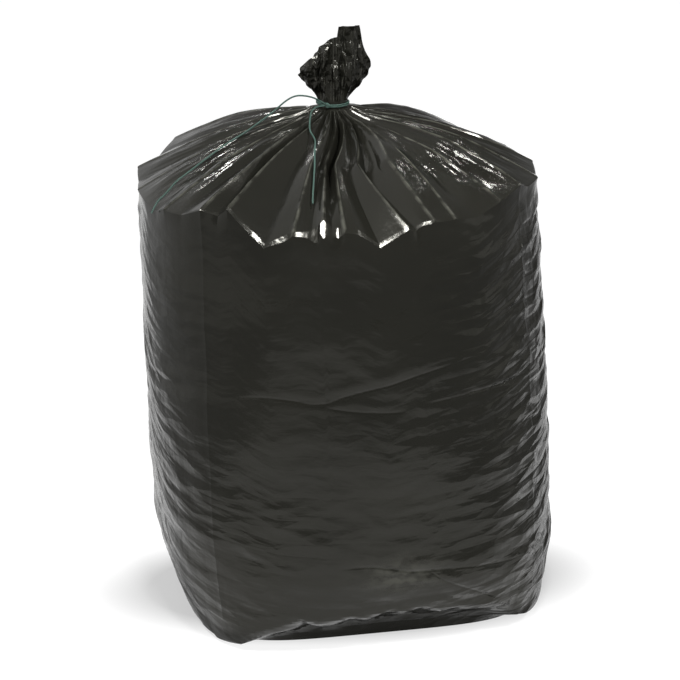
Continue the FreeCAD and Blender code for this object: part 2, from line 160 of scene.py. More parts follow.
EDGE_HEIGHTS = np.array([
    (-172, -6), (-152, 1), (-134, 2), (-120, -6), (-108, -6), (-86, -8),
    (-66, -6), (-53, 0), (-45.5, 7), (-37.5, 14), (-28, -21), (-20, -9),
    (-15, -8), (-11.5, 1), (-5.5, -6), (-1.5, -7), (4.5, -23), (13, -7),
    (17.5, -2), (33.5, -1), (42, 9), (50, 17), (57, 14), (76, 7),
    (98, 7), (112, 0), (134, 4), (144, -6), (166, 2), (178, -5),
])

FLAP_HEIGHTS = np.array([
    (-170, 0.74), (-150, 0.66), (-120, 0.50), (-90, 0.32), (-74, 0.44), (-60, 0.58),
    (-54, 0.52), (-49, 0.52), (-43, 0.63), (-27, 0.69), (-10, 0.78), (9, 0.86), (13, 1),
    (67, 1), (75, 0.78), (83, 0.58), (89, 0.43), (96, 0.46), (112, 0.62), (140, 0.80),
])
print(len(FOLDS), "fold lines")

# %% [markdown]
# A few small helpers carry the shape: a straight-line look-up that closes round the sack, the
# squarish oval of the plan, and the height-by-height sections of the body.

# %% Shape helpers
DOME_POWER = 1.6
FLARE_LENGTH = 14.0
SECTIONS = np.array([
    # height, half width, half depth, squareness, turn
    (0, 180, 144, 4.5, 4),
    (10, 190, 148, 4.4, 4),
    (18, 195, 158, 4, 4),
    (30, 202, 192, 3.4, 4),
    (38, 206, 200.5, 3.2, 4),
    (70.3, 218.2, 206.7, 2.9, 2.8),
    (90, 223.2, 210, 2.8, 2.4),
    (234.7, 225, 210, 2.7, 0),
    (371.4, 221.8, 208.4, 2.6, 0),
    (492, 217, 203.6, 2.55, 0),
])


def round_sack(table, angle, column=1, gain=0.0):
    """Straight-line value of a table of angles that closes on itself, with a gain at each turn."""
    xs = np.concatenate([[table[-1, 0] - 360.0], table[:, 0], [table[0, 0] + 360.0]])
    ys = np.concatenate([[table[-1, column] - gain], table[:, column], [table[0, column] + gain]])
    return np.interp(angle, xs, ys)


def fold_angle(angle, column):
    """Where the line that starts at this shoulder angle lies further up."""
    return round_sack(FOLDS, angle, column, 360.0)


def plan_radius(angle, half_width, half_depth, power):
    side = np.abs(np.sin(np.radians(angle))) / half_width
    front = np.abs(np.cos(np.radians(angle))) / half_depth
    return (side ** power + front ** power) ** (-1.0 / power)


def section_at(height):
    return [np.interp(height, SECTIONS[:, 0], SECTIONS[:, k]) for k in (1, 2, 3, 4)]


def axis_at(height):
    return -NECK_LEAN * np.minimum(height / NECK_HEIGHT, 1.0)


def round_points(axis, angle, radius, height):
    turn = np.radians(angle)
    height = np.broadcast_to(height, np.shape(turn))
    return np.stack([axis + radius * np.sin(turn), -radius * np.cos(turn), height], axis=-1)


def columns_round():
    """Shoulder angles of the columns: one on each fold line, closer together at the front."""
    angles = []
    starts = np.append(FOLDS[:, 0], FOLDS[0, 0] + 360.0)
    for here, after in zip(starts, starts[1:]):
        step = 0.82 if -112.0 < here < 112.0 else 1.4
        count = max(2, int(round((after - here) / step)))
        angles.extend(here + (after - here) * np.arange(count) / count)
    return np.array(angles)


COLUMNS = columns_round()
print(len(COLUMNS), "columns")

# %% [markdown]
# Crumpled film isn't wavy like cloth: it breaks into small flat facets that meet in sharp creases.
# Random heights at the corners of a lattice of triangles, joined by flat planes, give just that. The
# lattice is stretched along the crumple's direction, and warped a little so that it doesn't repeat.

# %% Crumple
RANDOM = np.random.default_rng(41)
LATTICE = RANDOM.uniform(-1.0, 1.0, (8, 512, 512))


def facets(x, y, around, layer):
    """Flat-sided random relief from -1 to 1; x runs once round in a whole number of cells."""
    i = np.floor(x).astype(int)
    j = np.floor(y).astype(int)
    fx = x - i
    fy = y - j
    table = LATTICE[layer]
    here = table[i % around, j % 512]
    right = table[(i + 1) % around, j % 512]
    above = table[i % around, (j + 1) % 512]
    across = table[(i + 1) % around, (j + 1) % 512]
    low = here + (right - here) * fx + (above - here) * fy
    high = across + (above - across) * (1.0 - fx) + (right - across) * (1.0 - fy)
    return np.where(fx + fy < 1.0, low, high)


def warped_facets(angle, climb, around, cell, layer, warp=0.5):
    """Facets on the sack: cells round it, and millimetres of climb for each row of cells."""
    turn = np.radians(angle)
    y = climb / cell
    x = (angle + 180.0) / 360.0 * around
    x = x + warp * np.sin(2.3 * y + 3.0 * np.sin(turn * 2.0 + layer))
    y = y + warp * np.sin(turn * (around // 3) + layer) + warp * np.sin(turn * 5.0 + 2.0 * layer)
    return facets(x, y + 100.0, around, layer)


def bump_at(value, middle, width):
    """Smooth bump of height 1 at the middle."""
    return np.exp(-((value - middle) / width) ** 2)


def triangle_wave(phase):
    return np.arcsin(np.sin(phase)) / (math.pi / 2.0)


# %% [markdown]
# The filling pushes the film into long flat-topped ripples that run round the body. A few are taken
# from the photograph, as a line of angle and height; many small ones are scattered at random.

# %% Creases of the wall
# Each crease: depth, half width in height, then its points as angle and height.
WALL_CREASES = [
    (1.7, 5.0, [(-39, 300), (-30, 305), (-23, 303), (-15, 298), (-7, 306), (6, 317), (15, 327), (31, 341)]),
    (1.1, 4.5, [(14, 293), (24, 297), (34, 301), (42, 303), (56, 308)]),
    (1.0, 4.0, [(-13, 294), (3, 286), (10, 287)]),
    (1.6, 5.0, [(-84, 292), (-70, 298), (-60, 300), (-52, 304)]),
    (1.7, 5.0, [(-14, 109), (-4, 112), (3, 108), (11, 102), (23, 101), (33, 99), (46, 96)]),
    (1.5, 5.0, [(15, 102), (20, 87), (30, 67), (39, 48)]),
    (1.4, 5.0, [(19, 74), (28, 47)]),
    (1.2, 6.0, [(-50, 60), (-34, 59), (-26, 61), (-16, 54)]),
    (1.3, 5.0, [(36, 372), (48, 384), (63, 380)]),
    (1.3, 5.0, [(30, 246), (44, 252), (60, 246), (74, 250)]),
    (1.2, 5.0, [(58, 198), (70, 204), (86, 200)]),
    (1.3, 5.0, [(40, 160), (52, 156), (66, 162)]),
    (1.2, 5.0, [(-78, 182), (-64, 176), (-52, 178)]),
    (1.3, 5.0, [(-82, 128), (-66, 122), (-50, 130)]),
    (1.5, 5.0, [(100, 330), (118, 322), (132, 330), (150, 326)]),
    (1.4, 5.0, [(-160, 214), (-142, 222), (-120, 216), (-104, 222)]),
    (1.5, 5.0, [(150, 150), (166, 158), (182, 152), (200, 160)]),
    (1.3, 5.0, [(-178, 392), (-160, 384), (-140, 390)]),
    (1.3, 5.0, [(108, 108), (124, 116), (140, 110)]),
]
SMALL_CREASES = 330
CREASE_DEPTH = 0.55


def plenty_of_creases(angle, height):
    """How crumpled the film is here: calm in the middle of the front, busy at the sides and back."""
    right = bump_at(angle, 62.0, 30.0)
    left = bump_at(angle, -80.0, 26.0) * (0.3 + 0.2 * (height < 330.0))
    low_left = 0.3 * bump_at(angle, -35.0, 16.0) * bump_at(height, 130.0, 80.0)
    rear = 0.7 * np.clip((np.abs(angle) - 90.0) / 20.0, 0.0, 1.0)
    return np.clip(0.12 + right + 0.8 * left + low_left + rear, 0.0, 1.0)


def small_creases():
    """Short ripples at seeded places, more of them on the right and at the lower left."""
    creases = []
    while len(creases) < SMALL_CREASES:
        angle = RANDOM.uniform(-180.0, 180.0)
        height = RANDOM.uniform(40.0, 470.0)
        plenty = plenty_of_creases(angle, height)
        if RANDOM.uniform() > plenty:
            continue
        length = RANDOM.uniform(4.0, 12.0)
        slope = RANDOM.uniform(-0.5, 1.1) * (1.0 if angle > 0.0 else -1.0)
        bend = RANDOM.uniform(-3.0, 3.0)
        climb = slope * length
        points = [(angle - length, height - climb), (angle, height + bend), (angle + length, height + climb)]
        depth = RANDOM.uniform(0.5, 1.5) * (0.45 + 0.55 * plenty)
        creases.append((depth, RANDOM.uniform(3.5, 7.5), points))
    return creases


def crease_relief(angle, height, creases):
    """Sum of the ripples: a narrow hollow with a softer swelling above it."""
    out = np.zeros_like(height)
    for depth, width, points in creases:
        xs, ys = np.array(points, float).T
        for turn in (-360.0, 0.0, 360.0):
            here = angle + turn
            inside = (here > xs[0]) & (here < xs[-1])
            if not inside.any():
                continue
            line = np.interp(here, xs, ys)
            middle = 0.5 * (xs[0] + xs[-1])
            fade = np.clip(1.0 - (np.abs(here - middle) / (0.5 * (xs[-1] - xs[0]))) ** 2, 0.0, 1.0)
            away = (height - line) / width
            hollow = np.exp(-(away / 0.8) ** 2)
            swelling = np.clip(1.0 - np.abs(away - 1.7) / 1.7, 0.0, 1.0)
            out += np.where(inside, CREASE_DEPTH * depth * fade * (0.8 * swelling - hollow), 0.0)
    return out


ALL_CREASES = WALL_CREASES + small_creases()
print(len(ALL_CREASES), "creases on the wall")

# %% [markdown]
# At the shoulder the film turns over an edge. Along the front it is pressed into a narrow flat band,
# a few millimetres wide, and that band is what mirrors the lamps as a white line. Its steepness and
# width change round the sack, so that each short flat length of it faces one of the lamps.

# %% Shoulder band and corner lines
GUSSET_SHARE = 0.15
SEAM_BEAD = 0.4
GUSSET_LINES = np.array([-134.0, -45.5, 50.0, 134.0])
FOLD_BEAD = 0.8
DEEPER = 1.4
EAVE_STEEPNESS = np.array([
    (-180, 0.9), (-46, 0.9), (-39, 1.1), (-36, 1.2), (-30, 1.19), (-26, 1.66), (-22, 1.82),
    (-20.5, 1.48), (-19, 1.22), (-17, 1.49), (-15.8, 1.25), (-14.6, 1.31), (-13.4, 2.01), (-12.4, 1.06),
    (-11.5, 1.68), (-10.6, 1.11), (-9.6, 1.04), (-8.6, 1.01), (-7.4, 1.57), (-6.2, 0.94), (-3.5, 0.90),
    (-1.5, 1.26), (1, 1.29), (3, 1.32), (4.6, 1.48), (7, 1.39), (13, 1.36), (15, 1.61),
    (16.5, 1.06), (18, 1.36), (20, 1.32), (26, 0.9), (178, 0.9),
])
EAVE_WIDTHS = np.array([
    (-180, 1.5), (-46, 1.5), (-40, 2.6), (-34, 3.4), (-30, 3.4), (-26, 2.8), (-22, 3.2),
    (-20.5, 3), (-19, 3), (-17, 3.2), (-15.8, 4.2), (-14.6, 7.6), (-13.4, 8.6), (-12.4, 7.4),
    (-11.5, 9.8), (-10.6, 9), (-9.6, 8.1), (-8.6, 6), (-6.2, 6), (-5, 3.7), (-1.5, 3.7),
    (1, 2.8), (4.6, 2.4), (10, 2.2), (13, 2.4), (20, 2), (26, 1.6), (178, 1.5),
])
FOLD_TILT = np.array([(0.0, 80.0), (0.15, 40.0), (0.5, 20.0), (1.0, 35.0)])
RAISED_FOLDS = FOLDS[FOLDS[:, 4] > 0.0, 0]


def fold_stand(columns, share):
    """How far out and how far up the folds of the gathered top stand at a share of its run."""
    marks = [0.0, 0.15, 0.55, 1.0]
    near = round_sack(FOLDS, columns, 5)
    middle = round_sack(FOLDS, columns, 4)
    outer = round_sack(FOLDS, columns, 3)
    near = np.where(near < 0.0, DEEPER * near, near)
    middle = np.where(middle < 0.0, DEEPER * middle, middle)
    weights = [np.interp(share, marks, row) for row in ((0, 1, 0, 0), (0, 0, 1, 0), (0, 0, 0, 1))]
    out = weights[0] * near + weights[1] * middle + weights[2] * outer
    on_ridge = np.isin(columns, RAISED_FOLDS)
    out = out + FOLD_BEAD * on_ridge * min(1.0, share * 6.0)
    tilt = math.radians(np.interp(share, FOLD_TILT[:, 0], FOLD_TILT[:, 1]))
    return out * math.sin(tilt), out * math.cos(tilt)


print(len(RAISED_FOLDS), "of the folds are raised")

# %% [markdown]
# The wall is a tall squarish drum of rings. The filling gives it broad swellings, the facets and
# creases of the last cells lie over those, and at the foot the film is turned under along a lip that
# rises and falls. Under the shoulder edge the crumple fades out, so that the edge stays clean.

# %% Wall of the body
LOW_STEP = 3.6
WALL_STEPS = 128
# Facets on the wall: how far they stand out, cells round the sack, cell height and random layer.
WALL_FACETS = [(1.2, 20, 30.0, 0), (1.2, 40, 14.0, 1), (0.5, 90, 8.0, 2)]


def wall_relief(angle, height):
    """How far the film of the wall stands out of the plain section."""
    busy = 0.14 + 0.9 * plenty_of_creases(angle, height) + 0.5 * bump_at(height, 48.0, 30.0)
    level = height / SHOULDER_HEIGHT
    out = 1.6 * np.sin(np.radians(5.0 * angle) + 9.0 * level) * np.sin(np.radians(3.0 * angle) - 17.0 * level)
    for depth, around, cell, layer in WALL_FACETS:
        out = out + depth * busy * warped_facets(angle, height, around, cell, layer)
    out = out + crease_relief(angle, height, ALL_CREASES)
    drawn_in = 3.5 * bump_at(angle, 86.0, 24.0) * bump_at(height, 390.0, 80.0)
    return out - 0.9 * busy - drawn_in


# The film is turned under at the foot. This is how high the lip of that fold lies: angle and height.
LIP_HEIGHTS = np.array([
    (-180, 30), (-140, 26), (-128, 12), (-60, 12), (-50, 7), (-41.8, 8), (-38, 17),
    (-33, 27), (-27.7, 34), (-23, 42), (-19, 37), (-14.9, 38), (-9, 43), (-4, 40),
    (3, 46), (8, 43), (14, 48), (20.7, 42), (25, 45), (29.4, 42), (34, 40),
    (39.8, 34), (46, 18), (52, 12), (120, 12), (140, 28), (178, 30),
])
PLAIN_LIP = 30.0


def plain_height(angle, height):
    """Height in the table of sections, where the lip lies level all round."""
    lip = round_sack(LIP_HEIGHTS, angle)
    below = height * PLAIN_LIP / lip
    above = PLAIN_LIP + (height - lip) * (TAPER_HEIGHT - PLAIN_LIP) / (TAPER_HEIGHT - lip)
    return np.where(height < lip, below, np.where(height < TAPER_HEIGHT, above, height))


def wall_rows(columns):
    """Rings of the wall from the contact edge up to just under the shoulder edge."""
    eave_out, eave_rise = fold_stand(columns, 1.0)
    band = round_sack(EAVE_STEEPNESS, columns) * round_sack(EAVE_WIDTHS, columns)
    top = SHOULDER_HEIGHT + round_sack(EDGE_HEIGHTS, columns) + eave_rise - band
    low = np.arange(0.0, TAPER_HEIGHT, LOW_STEP)
    rows = [np.full_like(columns, height) for height in low]
    for share in np.linspace(0.0, 1.0, WALL_STEPS):
        rows.append(TAPER_HEIGHT + share * (top - TAPER_HEIGHT))
    heights = np.array(rows)
    angles = np.broadcast_to(columns, heights.shape)
    half_width, half_depth, power, turn = section_at(plain_height(angles, heights))
    ridge = GUSSET_SHARE * round_sack(FOLDS, columns, 6) + SEAM_BEAD * np.isin(columns, GUSSET_LINES)
    grown = np.clip(heights / TAPER_HEIGHT + 0.25 * (heights > 3.0), 0.0, 1.0)
    out = (ridge + wall_relief(angles, heights)) * grown
    near_top = np.clip(1.0 - (top - heights) / 26.0, 0.0, 1.0) ** 2
    out = out * (1.0 - near_top) + eave_out * near_top
    radius = plan_radius(angles - turn, half_width, half_depth, power) + out
    return list(round_points(axis_at(heights), angles, radius, heights))


def base_rows(edge):
    """The flat base, from its middle to the contact edge."""
    middle = edge.mean(axis=0)
    return [middle + (edge - middle) * share for share in (0.0, 0.4, 0.7, 0.9, 0.97)]


wall = wall_rows(COLUMNS)
base = base_rows(wall[0])
print("wall", len(wall), "rings, base", len(base))

# %% [markdown]
# Over the shoulder the film is drawn in to the neck. Each ring is a share of the way from the neck
# to the shoulder edge, and its points slide along the fold lines, so the folds bend as they climb.
# Fine pleats begin at the tie and die out, long ones run down the sides, and the panels are crumpled.

# %% Gathered top
DOME_SHARES = np.concatenate([[1.0, 0.992, 0.984, 0.974], np.linspace(0.962, 0.02, 64)])
DOME_RUN = 195.0
DOME_FACETS = [(1.5, 52, 46.0, 3), (0.7, 96, 20.0, 4)]
FINE_PLEATS = 1.6
LONG_PLEATS = 1.9


def dome_relief(angle, share):
    """Small pleats that start at the neck and die out, and crumple on the panels."""
    fine = FINE_PLEATS * triangle_wave(np.radians(44.0 * angle) + 2.0 * np.sin(np.radians(5.0 * angle)))
    near = np.clip(1.0 - share / 0.42, 0.0, 1.0) * np.clip(share / 0.05, 0.0, 1.0)
    sides = bump_at(angle, -78.0, 34.0) + bump_at(angle, 96.0, 44.0) + bump_at(np.abs(angle), 180.0, 50.0)
    wide = LONG_PLEATS * triangle_wave(np.radians(31.0 * angle) + 1.5 * np.sin(np.radians(7.0 * angle)))
    crumpled = 0.25 + 0.7 * bump_at(angle, 36.0, 14.0) + 0.4 * sides
    along = np.clip(share * 2.2, 0.0, 1.0) * np.clip((1.0 - share) * 6.0, 0.0, 1.0)
    out = fine * near + wide * sides * along
    rough = 0.0
    for depth, around, cell, layer in DOME_FACETS:
        rough = rough + depth * warped_facets(angle, share * DOME_RUN, around, cell, layer)
    fading = np.clip(share * 2.5, 0.0, 1.0) * np.clip((1.0 - share) * 12.0, 0.15, 1.0)
    return out + rough * crumpled * fading


def dome_rows(columns):
    edge = SHOULDER_HEIGHT + round_sack(EDGE_HEIGHTS, columns)
    half_width, half_depth, power, turn = section_at(edge)
    outer = plan_radius(columns - turn, half_width, half_depth, power)
    foot = NECK_HEIGHT - BAND_HEIGHT / 2.0
    marks = [0.15, 0.55, 1.0]
    outer = outer - round_sack(EAVE_WIDTHS, columns)
    rows = []
    for share in DOME_SHARES:
        angle = 0.0
        for row, column in (((1, 0, 0), 2), ((0, 1, 0), 1), ((0, 0, 1), 0)):
            angle = angle + np.interp(share, marks, row) * fold_angle(columns, column)
        out, up = fold_stand(columns, share)
        up = up + dome_relief(angle, share)
        radius = NECK_RADIUS + (outer - NECK_RADIUS) * share
        rise = (foot - NECK_FLARE - edge) * (1.0 - share ** DOME_POWER)
        rise = rise + NECK_FLARE * np.exp(-(radius - NECK_RADIUS) / FLARE_LENGTH)
        rows.append(round_points(axis_at(edge + rise), angle, radius + out, edge + rise + up))
    return rows


dome = dome_rows(COLUMNS)
print("gathered top", len(dome), "rings")

# %% [markdown]
# Under the twine the film is a tight round neck. Above it the spare film opens into a flat fan whose
# upper edge is cut like a flap: high on the right of the front, low at both sides. Its rings widen at
# once, and pleats and facets that grow with the height break them up. The last rings turn inside and
# run down to one point, so that the fan has a shallow mouth and the skin stays closed.

# %% Fan of film above the tie
# Height above the tie, and how far the fan has opened there, from 0 to 1.
TUFT_SPREAD = np.array([
    (0.0, 0.0), (8.0, 0.10), (15.0, 0.34), (23.0, 0.66), (33.0, 0.95), (44.0, 1.0), (82.0, 0.98),
])
TUFT_CORNER = 4.5
TUFT_RUN = 80.0
FAN_STEPS = 32


def band_rows(columns):
    angle = fold_angle(columns, 2)
    radius = np.full_like(angle, NECK_RADIUS)
    heights = [NECK_HEIGHT + side * BAND_HEIGHT for side in (-0.5, -0.2, 0.2, 0.5)]
    return [round_points(-NECK_LEAN, angle, radius, height) for height in heights]


def fan_rows(columns):
    angle = fold_angle(columns, 2)
    tall = (TUFT_HEIGHT - BAND_HEIGHT / 2.0) * round_sack(FLAP_HEIGHTS, angle)
    rows = []
    for share in np.linspace(0.025, 1.0, FAN_STEPS):
        spread = np.interp(tall * share, TUFT_SPREAD[:, 0], TUFT_SPREAD[:, 1])
        half_width = NECK_RADIUS + (TUFT_WIDTH / 2.0 - NECK_RADIUS) * spread
        half_depth = NECK_RADIUS + (TUFT_DEPTH / 2.0 - NECK_RADIUS) * spread
        radius = plan_radius(angle, half_width, half_depth, 2.0)
        open_up = min(1.0, 3.0 * share)
        drawn = 1.0 - 0.6 * share
        wide_pleats = triangle_wave(np.radians(9.0 * angle) + 0.9 * np.sin(4.0 * share))
        fine_pleats = triangle_wave(np.radians(23.0 * angle) + 5.0 * share)
        radius = radius + 3.4 * open_up * drawn * wide_pleats
        radius = radius + 0.8 * open_up * drawn * fine_pleats
        climb = share * TUFT_RUN
        radius = radius + 3.4 * open_up * (1.0 - 0.5 * share) * warped_facets(angle, climb, 15, 30.0, 5)
        radius = radius + 1.2 * open_up * warped_facets(angle, climb, 34, 11.0, 6)
        corners = bump_at(angle, 88.0, 6.0) + bump_at(angle, -88.0, 6.0)
        radius = radius + TUFT_CORNER * open_up * corners
        height = NECK_HEIGHT + BAND_HEIGHT / 2.0 + tall * share
        rows.append(round_points(-NECK_LEAN, angle, radius, height))
    return rows


def mouth_rows(edge):
    """Inside of the fan, down to the middle of its mouth."""
    middle = np.array([-NECK_LEAN, 0.0, NECK_HEIGHT + 0.5 * TUFT_HEIGHT])
    return [middle + (edge - middle) * share for share in (0.985, 0.9, 0.75, 0.55, 0.3, 0.0)]


band = band_rows(COLUMNS)
fan = fan_rows(COLUMNS)
mouth = mouth_rows(fan[-1])
print("neck", len(band), "rings, fan", len(fan), "rings, mouth", len(mouth))

# %% [markdown]
# The rings become one mesh. A grid primitive has just the right order of faces: its points are moved
# onto the rings, its two long sides meet at a seam, and its first and last rows shrink to the middle
# of the base and the middle of the mouth, so that merging doubles closes the skin all over.

# %% Build a closed skin from rings
SMOOTH_ANGLE = math.radians(13.0)
WELD_DISTANCE = 1e-6


def select_only(obj):
    bpy.ops.object.select_all(action="DESELECT")
    obj.select_set(True)
    bpy.context.view_layer.objects.active = obj


def remember(obj, name, kind, slot, values):
    """Store a value on each point of the mesh, for the material to read."""
    obj.data.attributes.new(name, kind, "POINT").data.foreach_set(slot, values)


def skin_of_rings(name, rings, film, crumpled, ridge_highlight_and_pale_patch):
    """A closed mesh through rings of points, in millimetres, that remembers each point's film."""
    rings = np.array(rings) * MM
    rows, count = rings.shape[:2]
    bpy.ops.object.select_all(action="DESELECT")
    bpy.ops.mesh.primitive_grid_add(x_subdivisions=count, y_subdivisions=rows - 1, size=2.0)
    obj = bpy.context.object
    obj.name = name
    places = np.empty(len(obj.data.vertices) * 3)
    obj.data.vertices.foreach_get("co", places)
    places = places.reshape(-1, 3)
    across = np.rint((places[:, 0] + 1.0) / 2.0 * count).astype(int) % count
    up = np.rint((places[:, 1] + 1.0) / 2.0 * (rows - 1)).astype(int)
    obj.data.vertices.foreach_set("co", rings[up, across].ravel())
    remember(obj, "film_place", "FLOAT_VECTOR", "vector", film[up, across].ravel())
    remember(obj, "crumpled", "FLOAT", "value", crumpled[up, across])
    # Paler colour per point: a painted highlight on the raised folds of the top, and a paler patch near the
    # foot.
    remember(obj, "ridge_highlight_and_pale_patch", "FLOAT", "value", ridge_highlight_and_pale_patch[up, across])
    obj.data.update()
    select_only(obj)
    bpy.ops.object.mode_set(mode="EDIT")
    bpy.ops.mesh.select_all(action="SELECT")
    bpy.ops.mesh.remove_doubles(threshold=WELD_DISTANCE)
    bpy.ops.mesh.normals_make_consistent(inside=False)
    bpy.ops.object.mode_set(mode="OBJECT")
    bpy.ops.object.shade_smooth_by_angle(angle=SMOOTH_ANGLE)
    return obj


PARTS = [("base", base), ("wall", wall), ("dome", dome), ("band", band), ("fan", fan), ("mouth", mouth)]
RINGS = [ring for name, rings in PARTS for ring in rings]
print(len(RINGS), "rings of", len(COLUMNS), "points")

# %% [markdown]
# A pattern on film has to follow the film, not the room. So each point also stores where it would lie
# if the film were wound on a plain cylinder, how crumpled the film is there, and how much paler colour
# it gets: a painted highlight along the raised folds of the top, and a paler patch near the foot. The
# material reads these three values.

# %% Describe the film at each point
FILM_RADIUS = 220.0
FILM_STARTS = (0.0, 0.0, 490.0, 700.0, 710.0, 800.0)
FILM_RISES = (0.0, 490.0, 210.0, 8.0, 84.0, 60.0)


def film_places(parts, columns):
    """Place on the flat film, wound on a plain cylinder: metres round it, and metres up the skin."""
    around = round_points(0.0, columns, FILM_RADIUS, 0.0) * MM
    places = []
    for (name, rings), start, rise in zip(parts, FILM_STARTS, FILM_RISES):
        for share in np.linspace(0.0, 1.0, len(rings)):
            places.append(around + np.array((0.0, 0.0, (start + rise * share) * MM)))
    return np.array(places)


def crumpled_wall(columns, height):
    amount = plenty_of_creases(columns, height) + 0.4 * bump_at(height, 46.0, 26.0)
    return np.clip(amount, 0.0, 1.0)


def crumpled_top(columns, share):
    sides = np.clip((np.abs(columns + 2.0) - 44.0) / 14.0, 0.0, 1.0)
    patch = 0.9 * bump_at(columns, 36.0, 10.0) * bump_at(share, 0.66, 0.22)
    return np.clip(0.04 + patch + 0.4 * sides * min(1.0, 2.0 * share), 0.0, 1.0)


def crumple_map(parts, columns):
    """How crumpled each point is, from 0 for smooth film to 1."""
    amounts = []
    for name, rings in parts:
        if name == "wall":
            amounts.extend(crumpled_wall(columns, ring[:, 2]) for ring in rings)
        elif name == "dome":
            amounts.extend(crumpled_top(columns, share) for share in DOME_SHARES)
        else:
            amounts.extend(np.full_like(columns, 0.1) for ring in rings)
    return np.array(amounts)


def ridge_highlight_and_patch_map(parts, columns):
    """Paler colour: a painted highlight along the raised folds of the top, and a paler patch on the wall near
    the foot.
    """
    raised = np.isin(columns, RAISED_FOLDS) * 1.0
    patch = 0.8 * bump_at(columns, 7.0, 10.0)
    amounts = []
    for name, rings in parts:
        for ring in rings:
            if name == "wall":
                amounts.append(patch * bump_at(ring[:, 2], 98.0, 17.0))
            else:
                amounts.append(raised * (name in ("dome", "fan")))
    return np.array(amounts)


MAPS = [film_places(PARTS, COLUMNS), crumple_map(PARTS, COLUMNS), ridge_highlight_and_patch_map(PARTS, COLUMNS)]
sack = skin_of_rings("sack_film", RINGS, *MAPS)
print("sack film", len(sack.data.vertices), "points", len(sack.data.polygons), "faces")

# %% [markdown]
# Black polythene is nearly black in itself: what the eye sees is the room mirrored in a thin glossy
# skin. Its shader is wired from a few kinds of node. One helper adds any node with its settings and
# inputs, and the other helpers are named after what they do.

# %% Shader helpers


def feed(tree, made, inputs):
    """Give inputs of a node a value each, or a link from another node's output."""
    for name, value in inputs.items():
        if isinstance(value, bpy.types.NodeSocket):
            tree.links.new(value, made.inputs[name])
        elif value is not None:
            made.inputs[name].default_value = value


def node(tree, kind, inputs, output=0, **settings):
    """Add a node with these settings and inputs, and hand back one of its outputs."""
    made = tree.nodes.new(kind)
    for name, value in settings.items():
        setattr(made, name, value)
    feed(tree, made, inputs)
    return made.outputs[output]


def new_material(name):
    """A material with only a shader and an output, ready for wiring."""
    material = bpy.data.materials.new(name)
    material.use_nodes = True
    return material, material.node_tree, material.node_tree.nodes["Principled BSDF"]


def object_place(tree):
    return node(tree, "ShaderNodeTexCoord", {}, "Object")


def stored(tree, name, output="Fac"):
    """A value that each point of the mesh remembers."""
    return node(tree, "ShaderNodeAttribute", {}, output, attribute_name=name)


def split(tree, vector):
    """The X, Y and Z of a vector."""
    return node(tree, "ShaderNodeSeparateXYZ", {"Vector": vector}).node.outputs


def stretched_noise(tree, vector, stretch, detail=2.0, kind="FBM"):
    """Noise with this many cells to the metre along each direction of the film."""
    cells = node(tree, "ShaderNodeMapping", {"Vector": vector, "Scale": stretch})
    inputs = {"Vector": cells, "Scale": 1.0, "Detail": detail}
    return node(tree, "ShaderNodeTexNoise", inputs, noise_type=kind)


def flat_planes(tree, vector, stretch):
    """Small flat planes that meet in sharp lines, pulled out along one direction of the film."""
    cells = node(tree, "ShaderNodeMapping", {"Vector": vector, "Scale": stretch})
    return node(tree, "ShaderNodeTexVoronoi", {"Vector": cells, "Scale": 1.0}, distance="MANHATTAN")


def bump(tree, height, depth, strength, below=None):
    """A bump of this depth in metres, laid over another one."""
    inputs = {"Height": height, "Distance": depth, "Strength": strength, "Normal": below}
    return node(tree, "ShaderNodeBump", inputs)


def ramp(tree, value, start, end, low, high, kind="LINEAR"):
    """A change from one value to another between two marks."""
    inputs = {"Value": value, "From Min": start, "From Max": end, "To Min": low, "To Max": high}
    return node(tree, "ShaderNodeMapRange", inputs, interpolation_type=kind)


def maths(tree, operation, *values):
    return node(tree, "ShaderNodeMath", dict(enumerate(values)), operation=operation)


def mix_colours(tree, amount, first, second):
    return node(tree, "ShaderNodeMix", {0: amount, 6: first, 7: second}, 2, data_type="RGBA")


# %% [markdown]
# A crease that was pressed into the film is a thin groove. Some of the long creases get one: the line
# is kept in a curve node, from the angle round the sack to a height, and a point lies in the groove
# when its own height is near the curve's. The ends fade out, as a real crease does.

# %% Pressed creases
PRESSED_LINES = [WALL_CREASES[k][2] for k in (0, 1, 2, 4, 5, 8)]
GROOVE_WIDTH = 0.0024
GROOVE_MARGIN = 0.01


def crease_line(tree, angle, height, points):
    """Height of a thin groove along points of angle and height: 1 in its middle, 0 beside it."""
    marks = [(math.radians(a), h * MM) for a, h in points]
    start, end = marks[0][0], marks[-1][0]
    low = min(h for a, h in marks) - GROOVE_MARGIN
    high = max(h for a, h in marks) + GROOVE_MARGIN
    spots = [((a - start) / (end - start), (h - low) / (high - low)) for a, h in marks]
    along = ramp(tree, angle, start, end, 0.0, 1.0)
    curve = node(tree, "ShaderNodeFloatCurve", {"Value": along})
    line = curve.node.mapping.curves[0]
    line.points[0].location = spots[0]
    line.points[1].location = spots[-1]
    for spot in spots[1:-1]:
        line.points.new(*spot)
    curve.node.mapping.update()
    level = ramp(tree, curve, 0.0, 1.0, low, high)
    away = maths(tree, "ABSOLUTE", maths(tree, "SUBTRACT", height, level))
    groove = ramp(tree, away, 0.0, GROOVE_WIDTH, 1.0, 0.0)
    ends = maths(tree, "MULTIPLY", along, maths(tree, "SUBTRACT", 1.0, along))
    return maths(tree, "MULTIPLY", groove, ramp(tree, ends, 0.0, 0.12, 0.0, 1.0))


def pressed_grooves(tree, spread, height):
    """All the pressed creases together, as hollows."""
    angle = maths(tree, "ARCTAN2", spread["X"], maths(tree, "MULTIPLY", spread["Y"], -1.0))
    grooves = None
    for points in PRESSED_LINES:
        groove = crease_line(tree, angle, height, points)
        grooves = groove if grooves is None else maths(tree, "MAXIMUM", grooves, groove)
    return maths(tree, "MULTIPLY", grooves, -1.0)


print(len(PRESSED_LINES), "creases are pressed sharp")
